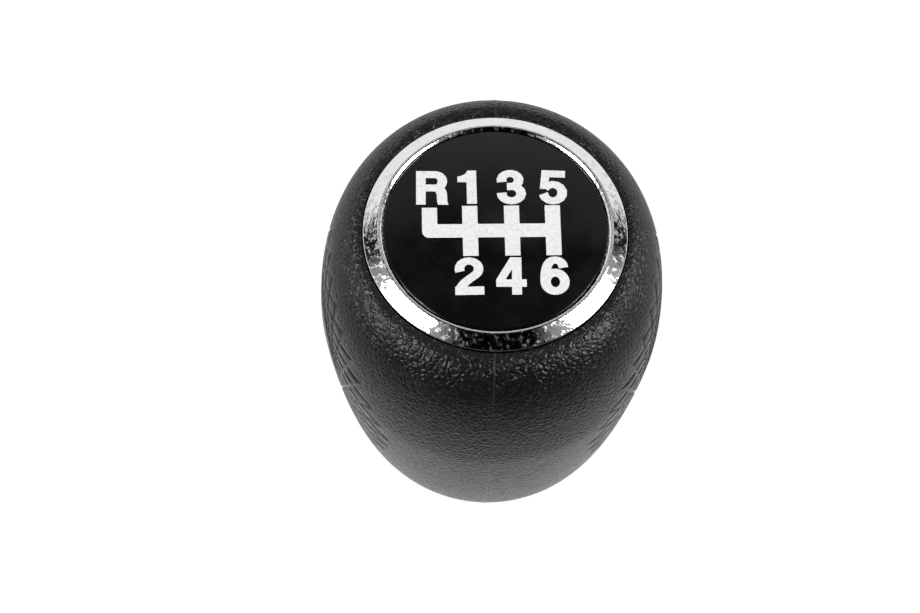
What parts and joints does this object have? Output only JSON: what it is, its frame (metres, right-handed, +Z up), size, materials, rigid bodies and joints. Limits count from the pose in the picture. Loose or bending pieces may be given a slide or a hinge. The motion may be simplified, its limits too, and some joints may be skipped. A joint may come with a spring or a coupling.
{
  "type": "gear shift knob",
  "caption": "Barrel-shaped gear shift knob with a grained soft cover, a chromed ring round a flat shift-pattern cap, and a threaded insert that screws onto the lever.",
  "frame": {"origin": "middle of the flat base, on the lever's axis", "axes": "+Z up along the lever's axis, +X to the right of a driver who faces forward, +Y forward"},
  "size_m": [0.05, 0.0528, 0.0519],
  "materials": {
    "cover": "leather-grained soft skin, satin",
    "core": "moulded, matte",
    "insert": "turned",
    "ring": "bright chrome plate",
    "cap": "gloss"
  },
  "bodies": {
    "root": {"grip_cover": "cover", "core": "core", "threaded_insert": "insert", "trim_ring": "ring", "pattern_cap": "cap"}
  },
  "joints": []
}
